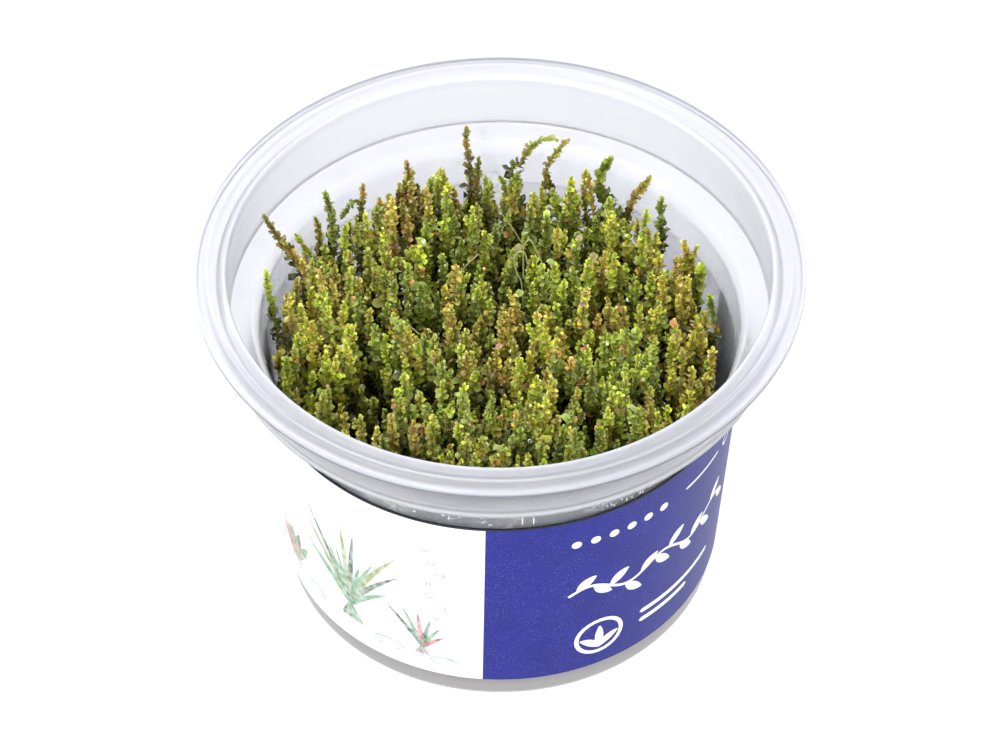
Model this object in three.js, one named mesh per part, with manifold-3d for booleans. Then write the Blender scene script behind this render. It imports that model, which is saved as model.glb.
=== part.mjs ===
// A pearl rotala as it is sold for planting: a round, frosted cup with a stepped rim, a printed label
// wrapped round its wall, a bed of clear nutrient gel, and the plantlets that stand in the gel.
// Millimetres, +Z up. The cup stands on z = 0 with its axis on Z, and its front faces -Y.
import * as THREE from "three";
import { mergeVertices } from "three/addons/utils/BufferGeometryUtils.js";
import Module from "manifold-3d";

const wasm = await Module();
wasm.setup();

// The cup
const RIM_HEIGHT = 65.5;
const FLANGE_RADIUS = 50;
const FLANGE_THICKNESS = 1.2;
const MOUTH_RADIUS = 44.4;
const BEAD_RADIUS = 47.45;
const BEAD_HEIGHT = 0.3;
const BEAD_HALF_WIDTH = 0.4;
const EDGE_ROUND = 0.4;
const WALL = 1;
const COLLAR_OUTER_TOP = 46;
const COLLAR_OUTER_FOOT = 45.2;
const SHOULDER_HEIGHT = 54.8;
const SHOULDER_RISE = 2.4;
const SHOULDER_LIP = 0.6;
const BODY_FOOT_RADIUS = 36.4;
const BODY_TAPER = 0.074;
const FOOT_RECESS = 1;
const FOOT_RING_WIDTH = 1.5;
const FOOT_ROUND = 0.5;
const FOOT_SLOPE = 0.8;
const INNER_ROUND = 1;
const ROUND_SEGMENTS = 44;

// The label
const LABEL_BOTTOM = 4.75;
const LABEL_TOP = 45.3;
const LABEL_GAP = 0.1;
const LABEL_THICKNESS = 0.3;
const LABEL_SEAM = 2.4;

// The gel
const GEL_TOP = 16;
const GEL_CLEARANCE = 0.3;
const MENISCUS_RISE = 0.8;
const MENISCUS_WIDTH = 1.6;

// The plantlets
const CLUMP_SHIFT = -0.8;
const ROOT_COUNT = 44;
const ROOT_SPREAD = 31;
const SHOOT_COUNT = 120;
const CANOPY_SPREAD = 35;
const CANOPY_HEIGHT = 53;
const HEIGHT_SPREAD = 7;
const FORK_SHARE = 0.3;
const GATHER = 0.12;
const SWAY = 0.4;
const STEM_RADIUS = 0.8;
const LEAF_RADIUS = 2.4;
const WAIST_RADIUS = 1.4;
const LEAVES_FROM = 0.45;
const LEAVES_TO = 0.93;
const WHORLS = [0.85, 1, 0.75];
const CORNERS = 4;
const GOLDEN_ANGLE = Math.PI * (3 - Math.sqrt(5));

// The shoots that stand out of the canopy: where the tip is, and how late the stem turns towards it.
const STANDOUTS = [
  { tip: [-5.4, 31.5, 66.5], turn: 1.5 },
  { tip: [10.4, 31.5, 63.6], turn: 4 },
  { tip: [13.2, 29, 65.2], turn: 3 },
  { tip: [18.6, 30, 60.7], turn: 2 },
  { tip: [25.2, 26.5, 59.4], turn: 2.5 },
  { tip: [27.1, 22.5, 58.4], turn: 1.5 },
  { tip: [33.8, 13.5, 55], turn: 1.5 },
  { tip: [-38.9, 14.5, 62.4], turn: 5 },
  { tip: [-33.7, 15.5, 57.5], turn: 2 },
  { tip: [-29.1, 22, 61], turn: 1.5 },
  { tip: [-22.7, 26, 59], turn: 2 },
  { tip: [-20.4, 22, 57], turn: 1.5 },
  { tip: [-15.4, 31, 58.8], turn: 1.5 },
  { tip: [-11.5, 28, 57.6], turn: 1.5 },
  { tip: [-38.2, 4, 60], turn: 5 },
];

function material(color, roughness, opacity = 1) {
  return new THREE.MeshStandardMaterial({
    color,
    roughness,
    metalness: 0,
    opacity,
    transparent: opacity < 1,
  });
}

const frosted = material(0xe9e9ef, 0.45, 0.6);
const printed = material(0xf4f5f8, 0.5);
const jelly = material(0xd6d8c8, 0.2, 0.6);
const foliage = [0x7f9a2c, 0x6c8a2a, 0x93a63a, 0x8a7a35].map((c) => material(c, 0.45));

const bodyRadius = (z) => BODY_FOOT_RADIUS + BODY_TAPER * z;
const boreRadius = (z) => bodyRadius(z) - WALL;

function turned(profile, surface, name) {
  const points = profile.map(([r, z]) => new THREE.Vector2(r, z));
  const geometry = new THREE.LatheGeometry(points, ROUND_SEGMENTS);
  geometry.rotateX(Math.PI / 2);
  const mesh = new THREE.Mesh(geometry, surface);
  mesh.name = name;
  return mesh;
}

// The outline runs from the axis under the base, up the outside, over the flange and down the inside.
function cup() {
  const floor = FOOT_RECESS + WALL;
  const footRing = BODY_FOOT_RADIUS - FOOT_ROUND - FOOT_RING_WIDTH;
  const underFlange = RIM_HEIGHT - FLANGE_THICKNESS;
  const collarBore = COLLAR_OUTER_FOOT - WALL;
  const step = SHOULDER_HEIGHT;
  const underStep = step - SHOULDER_RISE;
  return turned(
    [
      [0, FOOT_RECESS],
      [footRing - FOOT_SLOPE, FOOT_RECESS],
      [footRing, 0],
      [BODY_FOOT_RADIUS - FOOT_ROUND, 0],
      [bodyRadius(FOOT_ROUND), FOOT_ROUND],
      [bodyRadius(underStep), underStep],
      [COLLAR_OUTER_FOOT - EDGE_ROUND, step - SHOULDER_LIP],
      [COLLAR_OUTER_FOOT, step],
      [COLLAR_OUTER_TOP, underFlange],
      [FLANGE_RADIUS - EDGE_ROUND, underFlange],
      [FLANGE_RADIUS, RIM_HEIGHT - 2 * EDGE_ROUND],
      [FLANGE_RADIUS - EDGE_ROUND, RIM_HEIGHT - EDGE_ROUND / 2],
      [FLANGE_RADIUS - 2.5 * EDGE_ROUND, RIM_HEIGHT],
      [BEAD_RADIUS + BEAD_HALF_WIDTH, RIM_HEIGHT],
      [BEAD_RADIUS, RIM_HEIGHT + BEAD_HEIGHT],
      [BEAD_RADIUS - BEAD_HALF_WIDTH, RIM_HEIGHT],
      [MOUTH_RADIUS + EDGE_ROUND, RIM_HEIGHT],
      [MOUTH_RADIUS, RIM_HEIGHT - EDGE_ROUND],
      [collarBore, step + 2 * SHOULDER_LIP],
      [collarBore - 2 * EDGE_ROUND, step + SHOULDER_LIP],
      [boreRadius(step) + 2 * EDGE_ROUND, step],
      [boreRadius(underStep + WALL), underStep + WALL],
      [boreRadius(floor + INNER_ROUND), floor + INNER_ROUND],
      [boreRadius(floor) - INNER_ROUND, floor],
      [0, floor],
    ],
    frosted,
    "cup",
  );
}

// The gel fills the foot of the cup and climbs a little where it meets the wall.
function gel() {
  const floor = FOOT_RECESS + WALL + GEL_CLEARANCE;
  const rim = GEL_TOP + MENISCUS_RISE;
  const side = (z) => boreRadius(z) - GEL_CLEARANCE;
  return turned(
    [
      [0, floor],
      [side(floor) - INNER_ROUND, floor],
      [side(floor + INNER_ROUND), floor + INNER_ROUND],
      [side(rim), rim],
      [side(GEL_TOP) - MENISCUS_WIDTH, GEL_TOP],
      [0, GEL_TOP],
    ],
    jelly,
    "nutrient_gel",
  );
}

// Adds two triangles for the four-sided face a, b, c, d, given anticlockwise as seen from outside.
function quad(faces, a, b, c, d) {
  faces.push(a, b, c, a, c, d);
}

// A strip bent round the cup's faceted wall, with a narrow seam at the back, where its two ends nearly meet.
function label() {
  const step = (2 * Math.PI) / ROUND_SEGMENTS;
  const seamHalf = LABEL_SEAM / 2 / bodyRadius(LABEL_BOTTOM);
  const back = Math.PI / 2;
  const turns = [back + seamHalf];
  for (let i = 1; i < ROUND_SEGMENTS; i++) turns.push(back + i * step);
  turns.push(back + 2 * Math.PI - seamHalf);
  const flatness = (a) => {
    const off = (((a - back) % step) + step) % step;
    return Math.cos(step / 2) / Math.cos(off - step / 2);
  };
  const positions = [];
  const faces = [];
  turns.forEach((a, i) => {
    for (const [z, depth] of [
      [LABEL_BOTTOM, LABEL_GAP],
      [LABEL_BOTTOM, LABEL_GAP + LABEL_THICKNESS],
      [LABEL_TOP, LABEL_GAP + LABEL_THICKNESS],
      [LABEL_TOP, LABEL_GAP],
    ]) {
      const r = (bodyRadius(z) + depth) * flatness(a);
      positions.push(r * Math.cos(a), r * Math.sin(a), z);
    }
    if (!i) return;
    const last = 4 * (i - 1);
    for (let k = 0; k < 4; k++) {
      const next = (k + 1) % 4;
      quad(faces, last + k, last + 4 + k, last + 4 + next, last + next);
    }
  });
  const end = 4 * (turns.length - 1);
  quad(faces, 0, 1, 2, 3);
  quad(faces, end + 3, end + 2, end + 1, end);
  const mesh = new THREE.Mesh(indexed(positions, faces), printed);
  mesh.name = "label";
  return mesh;
}

function indexed(positions, faces) {
  return new THREE.BufferGeometry()
    .setAttribute("position", new THREE.Float32BufferAttribute(positions, 3))
    .setIndex(faces);
}

// Evenly spread places in a disc, as seeds sit in a sunflower. The clump stands a little to the cup's left.
function sunflower(index, count, spread) {
  const r = spread * Math.sqrt((index + 0.5) / count);
  return [CLUMP_SHIFT + r * Math.cos(index * GOLDEN_ANGLE), r * Math.sin(index * GOLDEN_ANGLE)];
}

// A repeatable number from 0 to 1 for each item and each way in which items vary.
function vary(index, channel) {
  const wild = Math.sin(index * 12.9898 + channel * 78.233) * 43758.5453;
  return wild - Math.floor(wild);
}

const distance = ([ax, ay], [bx, by]) => Math.hypot(ax - bx, ay - by);
const mix = (a, b, share) => a + (b - a) * share;
const ease = (t) => t * t * (3 - 2 * t);

function nearest(point, places) {
  let best = 0;
  places.forEach((place, i) => {
    if (distance(point, place) < distance(point, places[best])) best = i;
  });
  return best;
}

// Every shoot: the root that it springs from, its own place in the canopy, its tip and its turn.
function planShoots(roots) {
  const shoots = [];
  for (let i = 0; i < SHOOT_COUNT; i++) {
    const spot = sunflower(i, SHOOT_COUNT, CANOPY_SPREAD);
    const root = nearest(spot, roots);
    const place = [0, 1].map((k) => mix(spot[k], roots[root][k], GATHER));
    const lean = 2 * Math.PI * vary(i, 1);
    const height = CANOPY_HEIGHT + HEIGHT_SPREAD * (vary(i, 2) - 0.5);
    const tip = [place[0] + SWAY * Math.cos(lean), place[1] + SWAY * Math.sin(lean), height];
    shoots.push({ root, place, tip, turn: 2, taken: false });
  }
  for (const { tip, turn } of STANDOUTS) {
    const free = shoots.filter((shoot) => !shoot.taken);
    const chosen = free[nearest(tip, free.map((shoot) => shoot.place))];
    Object.assign(chosen, { tip, turn, taken: true });
  }
  return shoots;
}

// The stem's line: it leaves the root, rises at its own place, and turns towards its tip.
function stemPoint(shoot, roots, t) {
  const base = GEL_TOP + GEL_CLEARANCE;
  const fork = ease(Math.min(1, t / FORK_SHARE));
  const late = Math.max(0, (t - FORK_SHARE) / (1 - FORK_SHARE)) ** shoot.turn;
  const [x, y] = [0, 1].map((k) =>
    mix(mix(roots[shoot.root][k], shoot.place[k], fork), shoot.tip[k], late),
  );
  return new THREE.Vector3(x, y, mix(base, shoot.tip[2], t));
}

// How far leaves reach from the stem, ring by ring: wide at each whorl, narrow at the waists between.
function rings() {
  const list = [
    { t: 0, radius: STEM_RADIUS * 1.5 },
    { t: FORK_SHARE, radius: STEM_RADIUS },
  ];
  const pitch = (LEAVES_TO - LEAVES_FROM) / (WHORLS.length - 1);
  WHORLS.forEach((reach, k) => {
    const t = LEAVES_FROM + k * pitch;
    if (k) list.push({ t: t - pitch / 2, radius: WAIST_RADIUS });
    list.push({ t, radius: LEAF_RADIUS * reach, turn: k });
  });
  return list;
}

// A closed solid for one leafy shoot: square rings of leaf tips, each turned half a corner from the last.
function shootSolid(shoot, roots) {
  const positions = [];
  const faces = [];
  const side = new THREE.Vector3(1, 0, 0);
  const list = rings();
  list.forEach(({ t, radius, turn = 0 }, i) => {
    const centre = stemPoint(shoot, roots, t);
    const ahead = stemPoint(shoot, roots, Math.min(1, t + 0.02));
    const behind = stemPoint(shoot, roots, Math.max(0, t - 0.02));
    const along = i ? ahead.sub(behind).normalize() : new THREE.Vector3(0, 0, 1);
    side.addScaledVector(along, -along.dot(side)).normalize();
    const across = new THREE.Vector3().crossVectors(along, side);
    for (let c = 0; c < CORNERS; c++) {
      const a = (2 * Math.PI * (c + (turn % 2) / 2)) / CORNERS;
      const corner = centre
        .clone()
        .addScaledVector(side, radius * Math.cos(a))
        .addScaledVector(across, radius * Math.sin(a));
      positions.push(corner.x, corner.y, corner.z);
    }
    if (!i) return;
    const low = CORNERS * (i - 1);
    for (let c = 0; c < CORNERS; c++) {
      const next = (c + 1) % CORNERS;
      quad(faces, low + c, low + next, low + CORNERS + next, low + CORNERS + c);
    }
  });
  const top = CORNERS * (list.length - 1);
  const tip = stemPoint(shoot, roots, 1);
  positions.push(tip.x, tip.y, tip.z);
  for (let c = 0; c < CORNERS; c++) faces.push(top + c, top + ((c + 1) % CORNERS), top + CORNERS);
  quad(faces, 3, 2, 1, 0);
  return solid(indexed(positions, faces));
}

function solid(geometry) {
  const merged = mergeVertices(geometry);
  return new wasm.Manifold(
    new wasm.Mesh({
      numProp: 3,
      vertProperties: merged.attributes.position.array,
      triVerts: new Uint32Array(merged.index.array),
    }),
  );
}

function geometryOf(shape) {
  const { vertProperties, triVerts } = shape.getMesh();
  return indexed(Array.from(vertProperties), Array.from(triVerts));
}

// A plantlet is the shoots that spring from one root, grown together at their feet.
function plantlets() {
  const roots = [];
  for (let i = 0; i < ROOT_COUNT; i++) roots.push(sunflower(i, ROOT_COUNT, ROOT_SPREAD));
  const shoots = planShoots(roots);
  return roots.map((_, i) => {
    const own = shoots.filter((shoot) => shoot.root === i);
    const grown = own.map((shoot) => shootSolid(shoot, roots)).reduce((a, b) => a.add(b));
    const mesh = new THREE.Mesh(geometryOf(grown), foliage[i % foliage.length]);
    mesh.name = `plantlet_${String(i + 1).padStart(2, "0")}`;
    return mesh;
  });
}

const plant = new THREE.Group();
plant.add(...plantlets());

const potted = new THREE.Group();
potted.add(cup(), gel(), label(), plant);

export default potted;
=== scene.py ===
# A potted pearl rotala: a frosted cup with a printed wrap label, a bed of milky gel and leafy plantlets.
# Sizes are in millimetres and are turned to metres where a mesh is made. The cup stands on z = 0 and its
# front faces -Y.
import math

import bpy
import numpy as np
from mathutils import Matrix, Vector


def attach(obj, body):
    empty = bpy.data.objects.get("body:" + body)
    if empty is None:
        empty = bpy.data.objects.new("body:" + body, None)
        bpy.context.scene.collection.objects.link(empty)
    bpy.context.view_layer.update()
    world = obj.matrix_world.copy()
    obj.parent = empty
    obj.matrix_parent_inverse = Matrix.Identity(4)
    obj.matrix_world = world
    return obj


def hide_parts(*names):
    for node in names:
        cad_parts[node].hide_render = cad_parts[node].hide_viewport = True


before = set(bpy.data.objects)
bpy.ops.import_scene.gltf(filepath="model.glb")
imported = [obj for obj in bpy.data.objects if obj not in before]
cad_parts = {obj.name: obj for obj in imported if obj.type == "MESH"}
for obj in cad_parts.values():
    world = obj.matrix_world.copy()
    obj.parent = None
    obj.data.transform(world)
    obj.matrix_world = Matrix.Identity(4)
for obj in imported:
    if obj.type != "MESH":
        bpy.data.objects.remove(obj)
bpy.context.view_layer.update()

MM = 0.001
rng = np.random.default_rng(20)

# The cup, as the frame has it but for the turned-down edge of its flange
RIM_HEIGHT = 65.5
FLANGE_RADIUS = 50
FLANGE_THICKNESS = 1.2
EDGE_DROP = 0.3
EDGE_WIDTH = 0.7
MOUTH_RADIUS = 44.4
BEAD_RADIUS = 47.45
BEAD_HEIGHT = 0.3
BEAD_HALF_WIDTH = 0.4
WALL = 1
COLLAR_OUTER_TOP = 46
COLLAR_OUTER_FOOT = 45.2
SHOULDER_HEIGHT = 54.8
SHOULDER_RISE = 2.4
SHOULDER_LIP = 0.6
BODY_FOOT_RADIUS = 36.4
BODY_TAPER = 0.074
FOOT_RECESS = 1
FOOT_RING_WIDTH = 1.5
FOOT_ROUND = 0.5
FOOT_SLOPE = 0.8
SHOULDER_EASE = 1.1
LIP_REACH = 0.3
MILKY_TO = 5.2
CUP_SEGMENTS = 192

# The label, whose top edge is 0.4 mm above the frame's
LABEL_BOTTOM = 4.75
LABEL_TOP = 45.7
LABEL_GAP = 0.1
LABEL_THICKNESS = 0.3
LABEL_SEAM = 2.4
LABEL_MIDDLE = 25
COLOUR_FROM = math.radians(-3.5)
COLOUR_TO = math.radians(109.5)

# The gel
GEL_TOP = 16
GEL_CLEARANCE = 0.3
MENISCUS_RISE = 0.8
MENISCUS_WIDTH = 1.6

# The plantlets, planned as the frame's are
CLUMP_CENTRE = np.array([-0.8, 0])
ROOT_COUNT = 44
ROOT_SPREAD = 31
SHOOT_COUNT = 120
CANOPY_SPREAD = 35
CANOPY_HEIGHT = 53
HEIGHT_SPREAD = 7
FORK_SHARE = 0.3
GATHER = 0.12
SWAY = 0.4
GOLDEN_ANGLE = math.pi * (3 - math.sqrt(5))
STANDOUTS = [
    (-5.4, 31.5, 66.5),
    (10.4, 31.5, 63.6),
    (13.2, 29, 65.2),
    (18.6, 30, 60.7),
    (25.2, 26.5, 59.4),
    (27.1, 22.5, 58.4),
    (33.8, 13.5, 55),
    (-38.9, 14.5, 62.4),
    (-33.7, 15.5, 57.5),
    (-29.1, 22, 61),
    (-22.7, 26, 59),
    (-20.4, 22, 57),
    (-15.4, 31, 58.8),
    (-11.5, 28, 57.6),
    (-38.2, 4, 60),
]

# The stems that rise out of the clump: the one of STANDOUTS that each belongs to, how far back it stands,
# the places (x, z) that it passes with its tip last, its kind and the size of its leaves
RISERS = [
    (0, 31.4, [(-4.8, 46), (-4.9, 51.2), (-4.9, 55.2), (-5, 59.2), (-5.5, 62.9), (-5.4, 66.3)],
     "umber", 0.85),
    (0, 30.8, [(-3.5, 46), (-3.9, 52), (-3.5, 56.5), (-3.4, 59.8)], "umber", 0.85),
    (0, 30.2, [(-2, 45), (-1.9, 50), (-2.3, 56)], "olive", 0.9),
    (1, 31, [(2.4, 54.5), (3.6, 58), (4.9, 61.4), (6.4, 63.3), (8, 64), (9.8, 63.7)], "olive", 0.9),
    (1, 30.6, [(1.2, 46), (1.4, 51), (0.6, 54.5), (0.2, 55.6)], "green", 0.9),
    (2, 29.6, [(9.2, 52), (8.2, 55.5), (8.1, 58.4), (9, 61), (10.3, 63.4), (11.6, 65)], "olive", 0.85),
    (3, 30, [(19, 46), (18, 50.2), (17.2, 53), (17, 55.8), (17.5, 57.7), (18.8, 60.4)], "green", 1.25),
    (3, 30, [(14.7, 48), (14.5, 53.5), (14.7, 57.5)], "lime", 0.9),
    (4, 26.5, [(21, 47), (21.5, 50), (22.5, 53.6), (24, 56.8), (25.3, 59.3)], "bronze", 1),
    (5, 22.5, [(27.3, 46), (27.2, 50.8), (27.1, 55.1), (27.2, 58.3)], "deep", 1),
    (6, 13.5, [(32.1, 44), (32.1, 50.8), (32.2, 53.4), (32.8, 55.6)], "olive", 0.9),
    (6, 13.5, [(31.6, 46), (31.4, 52.2), (30.9, 55.1), (30.7, 57)], "gold", 1),
    (6, 13, [(32.8, 42), (33.1, 46.8), (33.5, 49.1), (33.8, 51.7)], "green", 1.4),
    (6, 4.5, [(35.6, 43), (35.6, 46.9), (35.2, 50.5), (34.7, 53.4)], "deep", 0.9),
    (7, 15, [(-31.9, 42), (-32.4, 45), (-33.9, 50), (-35.4, 54.1), (-37.2, 58.1), (-38.9, 62)], "umber", 1),
    (7, 14.6, [(-31.2, 42), (-32.8, 49.2), (-34.5, 53.4), (-36, 56.6)], "bronze", 0.95),
    (8, 15.5, [(-28.9, 42), (-29.8, 45.2), (-30.8, 50.7), (-32.5, 54.1), (-33.9, 57.2)], "olive", 0.85),
    (9, 22, [(-28.7, 42), (-28.6, 47.5), (-27.9, 52), (-28.3, 56.7), (-29.1, 60.7)], "dusk", 0.9),
    (9, 21.6, [(-30, 42), (-30.4, 46), (-30.2, 51.5), (-30.8, 55)], "dusk", 0.9),
    (10, 26, [(-23.8, 42), (-23.7, 45.4), (-23.3, 51.3), (-23, 54.9), (-22.8, 58.6)], "olive", 0.85),
    (10, 26, [(-23.5, 46), (-23.2, 52.4), (-23.6, 54.5), (-24.8, 54.1), (-25.8, 52.6), (-26.5, 50.8)],
     "dusk", 0.8),
    (11, 22, [(-19.8, 42), (-19.9, 49.3), (-20.3, 53.6), (-20.5, 56.9)], "deep", 0.9),
    (12, 31, [(-16.4, 42), (-16.2, 49.9), (-15.2, 54.6), (-15.5, 58.6)], "bronze", 1),
    (12, 30.5, [(-16.8, 42), (-17.1, 49), (-16.8, 54)], "umber", 1),
    (12, 30, [(-14.4, 42), (-14.2, 49), (-13.8, 54.6)], "umber", 1),
    (12, 30.2, [(-13.2, 42), (-12.8, 48), (-12.8, 52.8)], "bronze", 1),
    (12, 29.6, [(-15.6, 44), (-15.4, 50), (-16, 55.6)], "umber", 0.95),
    (13, 28, [(-11.2, 44), (-11.2, 49.3), (-11.5, 54), (-11.5, 57.5)], "green", 0.95),
    (13, 28.4, [(-10.2, 44), (-10.2, 49.2), (-10.3, 54), (-10.1, 57.8)], "green", 0.95),
    (13, 28, [(-9.2, 44), (-9.2, 49.2), (-8.8, 54), (-8.6, 56.9)], "lime", 0.95),
    (14, 4, [(-36.7, 42), (-37.3, 47.5), (-37.9, 53.4), (-38.2, 56.9), (-38.3, 60)], "lime", 0.9),
]

# Thin bare stems among the leaves: how far back each stands, the places (x, z) that it passes, its thickness
# and its colour
PALE_STEM = (184, 190, 130)
DRY_STEM = (180, 174, 124)
BARE_STEMS = [
    (11, [(3.9, 44), (3.7, 49.8), (2.9, 52.5), (2.4, 55.5), (3.2, 57.3), (4.2, 57), (4.7, 54.5)],
     0.3, PALE_STEM),
    (12, [(4, 50), (4, 57), (4.7, 59), (5.4, 58.7), (6.2, 56.4), (7, 54)], 0.28, PALE_STEM),
    (19, [(0.6, 58), (2.1, 55.2), (4.4, 50)], 0.24, (176, 170, 116)),
    (12, [(-6.2, 52), (-5.4, 53.4), (-3.5, 55.8)], 0.26, DRY_STEM),
    (-4, [(-16.1, 57), (-14.8, 55.4), (-13.2, 53.4)], 0.24, DRY_STEM),
    (-36.9, [(3, 34), (3.6, 44), (4, 53)], 1.5, (112, 122, 70)),
    (-36.8, [(5.4, 34), (5, 44), (4.9, 52.4)], 1, (120, 128, 78)),
]

# Leaves that stand out by their size or colour: x, y, length and colour
ACCENTS = [
    (16.6, 6.8, 2, (140, 128, 60)),
    (14.4, 4.8, 1.4, (148, 82, 126)),
    (16.2, 5.2, 1.3, (196, 70, 66)),
    (14.4, -4.8, 1.5, (206, 84, 86)),
    (1.3, -5.8, 1.4, (200, 120, 110)),
    (28, -4, 1.7, (212, 132, 70)),
    (6.9, -15.8, 1.7, (150, 176, 84)),
    (21.8, -28.3, 1.8, (156, 176, 92)),
    (-11.5, 12.9, 1.8, (140, 168, 70)),
    (0.8, 16.5, 2.1, (140, 126, 76)),
    (5.7, 7, 1.8, (140, 172, 66)),
    (10.4, 9, 1.6, (146, 168, 90)),
    (12.6, 16.3, 1.5, (180, 150, 118)),
    (0.7, -33.5, 2, (150, 172, 88)),
]

# Where the canopy sinks or stands higher: x, y, reach and change of height. Where it sinks below HOLLOW,
# nothing grows. It also has swells, given by their height and by the pace and start of their waves.
SWELL = 1.8
SWELL_X = (0.52, 0.9)
SWELL_Y = (0.47, 0.5)
HOLLOW = -9
RELIEF = [
    (-21.6, -21, 3.4, -17),
    (-21.6, -13, 3.8, -18),
    (-21.6, -5, 3, -13),
    (-12.4, 3, 2.8, -12),
    (1.4, 12.5, 3.6, -14),
    (-1.3, -14, 3.4, -12),
    (13.5, -19, 3.4, -8),
    (29.5, -13, 3.4, -10),
    (-27, -12, 1.8, -7),
    (10.2, 18, 2.4, -8),
    (-28, 2, 6, 3),
    (-30, -8, 5, 4),
    (-13, 9, 4, 3),
    (0.4, 1.5, 3.5, 4),
    (8, -5, 3, 5),
    (16.4, 9, 4, 4),
    (29, 9, 4.5, 4),
    (8, 27, 8, 3),
    (-14, 24, 7, 3),
    (22, 20, 5, 3),
    (-22, 17, 6, 3),
    (-4, 24, 6, 2),
]

# The leafy shoots: twins and other side shoots, by how far off the main one and how much lower they stand,
# the shoots along the clump's edge, the waver of the stems and the sprigs that bush a shoot out
TWINS = 2
TWIN_REACH = (1, 1.7)
TWIN_DROP = (0.1, 3.4)
SIDE_SHOOTS = 3
SIDE_REACH = (2.4, 3.7)
SIDE_DROP = (2, 10)
SIDE_TURN = 0.4
SIDE_SWAY = 1.2
SIDE_CEILING = CANOPY_HEIGHT + 3
CLUMP_LIMIT = 35.9
EDGE_COUNT = 58
EDGE_DEGREES = (-18, 200)
EDGE_DEPTH = 1.6
EDGE_SWAY = 0.5
EDGE_HEIGHT_RANGE = (43.5, 49)
WAVER = 0.45
WAVER_PACE = (8, 13)
SPRIG_SHARE = 0.55
SPRIG_DEPTH = (3, 9)
SPRIG_LENGTH = (1.6, 3.6)
SPRIG_RADII = (0.2, 0.12)
SPRIG_LEAVES = 0.8
SPRIG_CLEARANCE = 1.5

# Stems and leaves. How leaves rise and open is in degrees, and how they roll and twist is in radians. Curl,
# cup and crumple are shares of a leaf's length.
LEAFY_FROM = 27
STEM_FOOT_RADIUS = 0.4
STEM_TIP_RADIUS = 0.14
LEAF_LENGTH = 1.02
TIP_LEAF_LENGTH = 0.56
OLD_LEAF_LENGTH = 1.8
LENGTH_RANGE = (0.65, 1.3)
LEAF_GROWTH = 1.2
OLD_FROM = 6
OLD_OVER = 7
LEAF_HALF_WIDTH = 0.46
WIDTH_RANGE = (0.8, 1.1)
LEAF_THICKNESS = 0.12
LARGE_SHARE = 0.01
LARGE_LENGTH = 1.8
LARGE_WIDTH = 0.75
TIP_RISE = 74
RISE_SPREAD = 20
ROLL_SPREAD = 0.35
CURL_MEAN = 0.12
CURL_SPREAD = 0.2
CURL_RANGE = (-0.3, 0.6)
CUP_RANGE = (-0.3, 0.35)
CRUMPLE_RANGE = (0, 0.09)
# How far a leaf's rim is paled, as a painted highlight
RIM_HIGHLIGHT_RANGE = (0, 0.42)
RIM_ANGLE = math.radians(60)
OPEN_BY = 42
RISER_OPEN_BY = 26
RISER_GAPS = 0.62
FIRST_NODE = 0.12
NODE_GAP_TIP = 0.26
NODE_GAP_RISE = 0.02
NODE_GAP_BEND = 0.005
NODE_GAP_MOST = 2.6
NODE_GAP_RANGE = (0.75, 1.25)
NODE_SHIFT = 0.12
NODE_TWIST = 0.35
LEAF_TWIST = 0.25
WALL_CLEARANCE = 0.25

# The leaves' shading: how light they are, how that varies, and the painted shade that darkens them further
# down a shoot
LEAF_LIGHTNESS = np.array([1.5, 1.55, 0.9])
LIGHTNESS_SPREAD = 0.34
LIGHTNESS_RANGE = (0.45, 1.7)
HUE_RANGE = (0.93, 1.07)
DEEP_SHADE = np.array([0.92, 0.88, 0.95])
SHADE_FROM = 6
SHADE_OVER = 8
# The colour that leaf rims are paled towards, a painted highlight
RIM_HIGHLIGHT_COLOUR = (230, 230, 162)

# The camera
CAMERA_PLACE = (0, -534.8, 603.6)
CAMERA_PITCH = math.radians(90 - 46.536)
CAMERA_ROLL = math.radians(-0.305)
CAMERA_LENS = 167.85
CAMERA_SENSOR = 36


def body_radius(z):
    return BODY_FOOT_RADIUS + BODY_TAPER * z


def bore_radius(z):
    return body_radius(z) - WALL


def polar(radius, turn):
    """A flat place at a distance and angle from the middle."""
    return radius * np.array([math.cos(turn), math.sin(turn)])


def linear(red, green, blue):
    """A colour given as 0 to 255 on screen, as the light values that Blender works in."""
    values = np.array([red, green, blue]) / 255
    return np.where(values <= 0.04045, values / 12.92, ((values + 0.055) / 1.055) ** 2.4)


# Meshes


def mesh_object(name, points, *face_groups, smooth=True):
    """An object from an array of points in millimetres and arrays of faces, one array for each face size."""
    mesh = bpy.data.meshes.new(name)
    corners = np.concatenate([group.ravel() for group in face_groups])
    sizes = np.concatenate([np.full(len(group), group.shape[1]) for group in face_groups])
    mesh.vertices.add(len(points))
    mesh.vertices.foreach_set("co", (np.asarray(points, float) * MM).ravel())
    mesh.loops.add(len(corners))
    mesh.loops.foreach_set("vertex_index", corners.astype(np.int32))
    mesh.polygons.add(len(sizes))
    mesh.polygons.foreach_set("loop_start", (np.cumsum(sizes) - sizes).astype(np.int32))
    mesh.polygons.foreach_set("use_smooth", np.full(len(sizes), smooth))
    mesh.update(calc_edges=True)
    piece = bpy.data.objects.new(name, mesh)
    bpy.context.scene.collection.objects.link(piece)
    return piece


def tint_points(piece, colours):
    """Stores one colour for each point, which the materials read as tint."""
    layer = piece.data.color_attributes.new("tint", "FLOAT_COLOR", "POINT")
    values = np.concatenate([colours, np.ones((len(colours), 1))], axis=1)
    layer.data.foreach_set("color", values.astype(np.float32).ravel())


def finish_piece(piece, materials, nodes=()):
    """Gives a piece its materials, its body and the frame nodes that it stands for."""
    for material in materials:
        piece.data.materials.append(material)
    if nodes:
        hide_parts(*nodes)
    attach(piece, "root")
    return piece


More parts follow.
